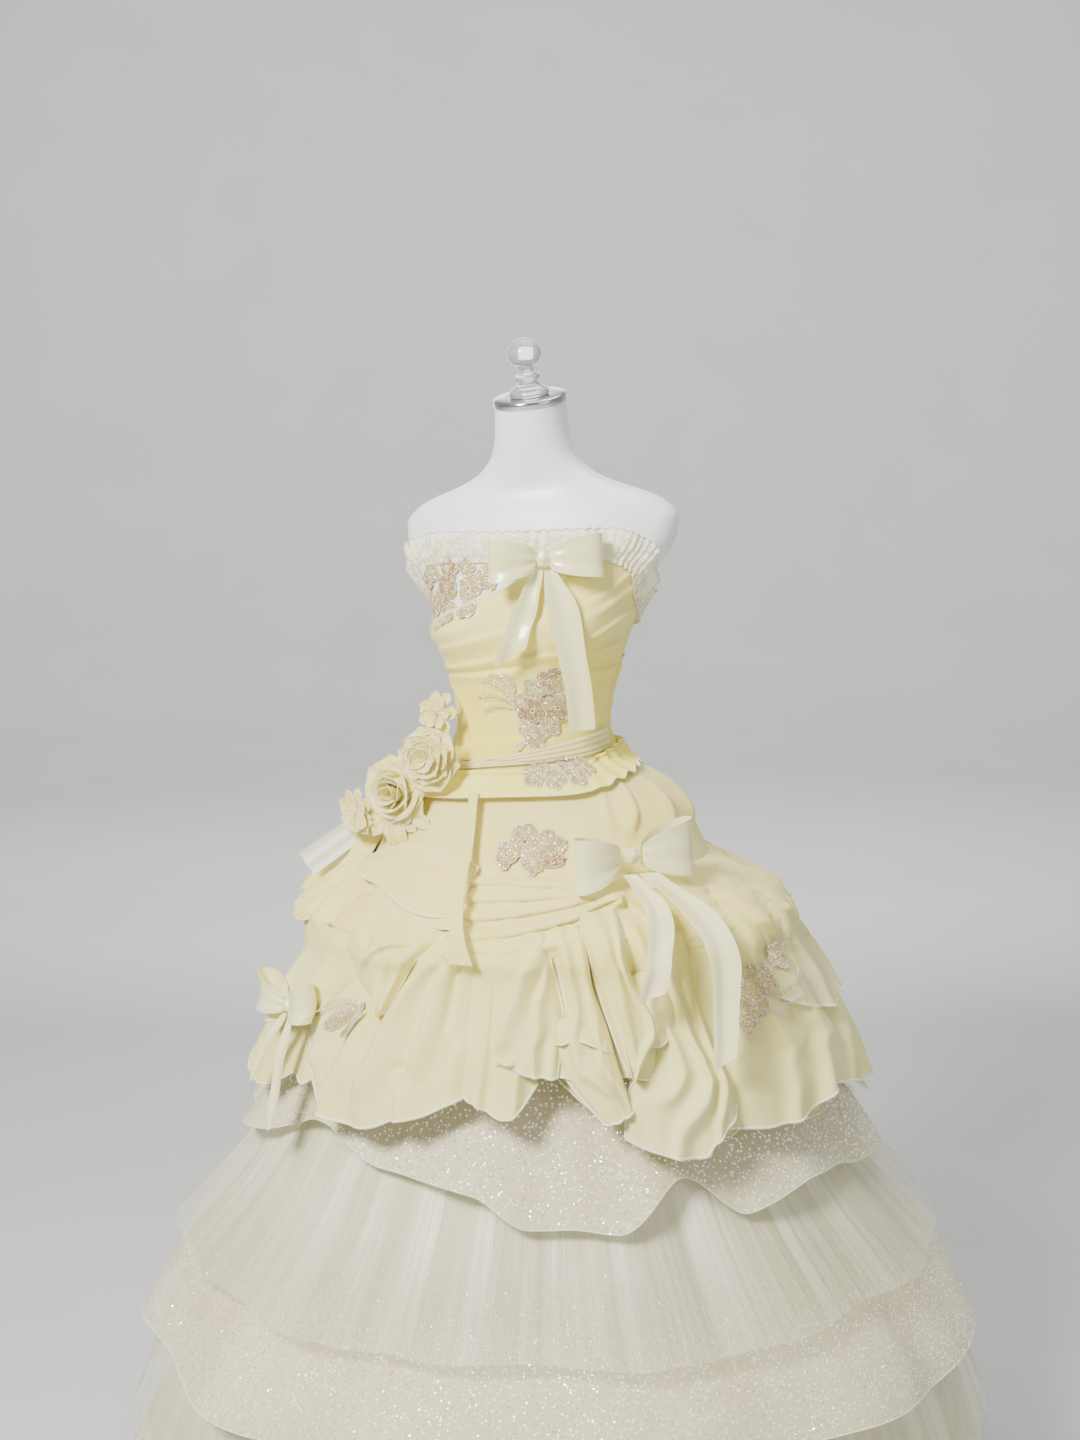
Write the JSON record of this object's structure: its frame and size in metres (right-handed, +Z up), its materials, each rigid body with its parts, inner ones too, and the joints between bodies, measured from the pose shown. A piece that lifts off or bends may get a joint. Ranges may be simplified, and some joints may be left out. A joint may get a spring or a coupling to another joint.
{
  "type": "ball gown on dress form",
  "caption": "Strapless floor-length ball gown with draped bodice, picked-up chiffon overskirt, ribbon bows and tulle tiers, on a limbless dress form with a stand.",
  "frame": {"origin": "centre of the underside of the stand's base plate, on the floor", "axes": "+Z up the dress form, -Y towards the front of the gown, +X towards the wearer's left"},
  "size_m": [1.2716, 1.2654, 1.6472],
  "materials": {
    "form_white": "smooth satin white",
    "stand_chrome": "polished",
    "finial_clear": "clear turned",
    "bodice_cloth": "matte, sequinned lace on part of it",
    "yellow_chiffon": "soft, slightly sheer",
    "cream_chiffon": "soft, slightly sheer, corded hem",
    "ivory_satin": "smooth satin",
    "neck_lace": "sheer shirred lace",
    "glitter_tulle": "tulle with small bright dots",
    "pleated_tulle": "crystal-pleated tulle",
    "skirt_lining": "plain net skirt"
  },
  "bodies": {
    "root": {"bodice_back_left": "bodice_cloth", "bodice_back_right": "bodice_cloth", "bodice_drape_back": "yellow_chiffon", "bodice_drape_front": "yellow_chiffon", "bodice_front": "bodice_cloth", "flower_daisy": "yellow_chiffon", "flower_open": "yellow_chiffon", "flower_rose": "yellow_chiffon", "flower_side": "yellow_chiffon", "form_base": "stand_chrome", "form_finial": "finial_clear", "form_neck_cap": "stand_chrome", "form_pole": "stand_chrome", "form_torso": "form_white", "glitter_tier_1": "glitter_tulle", "glitter_tier_2": "glitter_tulle", "glitter_tier_3": "glitter_tulle", "hip_band": "yellow_chiffon", "hip_bow_knot": "ivory_satin", "hip_bow_loop_left": "ivory_satin", "hip_bow_loop_right": "ivory_satin", "hip_bow_tail_left": "ivory_satin", "hip_bow_tail_right": "ivory_satin", "neck_bow_knot": "ivory_satin", "neck_bow_loop_left": "ivory_satin", "neck_bow_loop_right": "ivory_satin", "neck_bow_tail_left": "ivory_satin", "neck_bow_tail_right": "ivory_satin", "neckline_ruffle": "neck_lace", "overskirt_cascade_front": "cream_chiffon", "overskirt_cascade_left": "cream_chiffon", "overskirt_cascade_right": "cream_chiffon", "overskirt_flap": "cream_chiffon", "overskirt_flounce": "cream_chiffon", "overskirt_puff_back": "cream_chiffon", "overskirt_puff_left": "cream_chiffon", "overskirt_puff_right": "cream_chiffon", "overskirt_swag_front": "cream_chiffon", "overskirt_yoke": "cream_chiffon", "pleated_tier_1": "pleated_tulle", "pleated_tier_2": "pleated_tulle", "pleated_tier_3": "pleated_tulle", "side_bow_knot": "ivory_satin", "side_bow_loop_left": "ivory_satin", "side_bow_loop_right": "ivory_satin", "side_bow_tail_left": "ivory_satin", "side_bow_tail_right": "ivory_satin", "streamer_long": "yellow_chiffon", "streamer_side": "yellow_chiffon", "underskirt": "skirt_lining", "waist_sash": "yellow_chiffon"}
  },
  "joints": []
}
